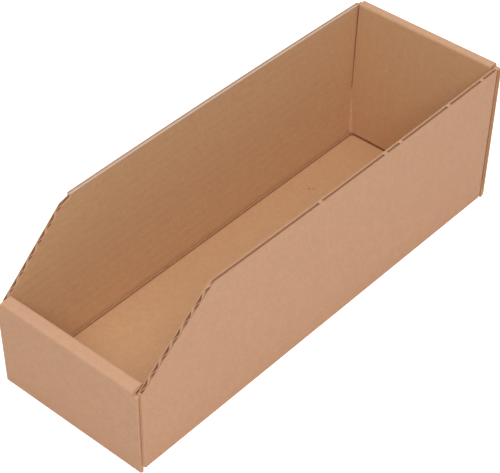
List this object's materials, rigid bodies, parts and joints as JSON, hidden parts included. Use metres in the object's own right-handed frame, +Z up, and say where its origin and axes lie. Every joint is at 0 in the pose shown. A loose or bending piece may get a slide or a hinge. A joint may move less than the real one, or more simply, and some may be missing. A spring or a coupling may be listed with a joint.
{
  "type": "shelf bin box",
  "caption": "Open-top shelf bin folded from corrugated board, with a low rolled front, sloped side cuts and a full-height rolled back.",
  "frame": {"origin": "middle of the bin's underside, on the surface that it stands on", "axes": "+X across the bin, +Y from the low open front to the full-height back, +Z up"},
  "size_m": [0.1082, 0.305, 0.101],
  "materials": {
    "kraft_board": "matt kraft liner, washboarded over the flutes"
  },
  "bodies": {
    "root": {"folded_bin": "kraft_board"}
  },
  "joints": []
}
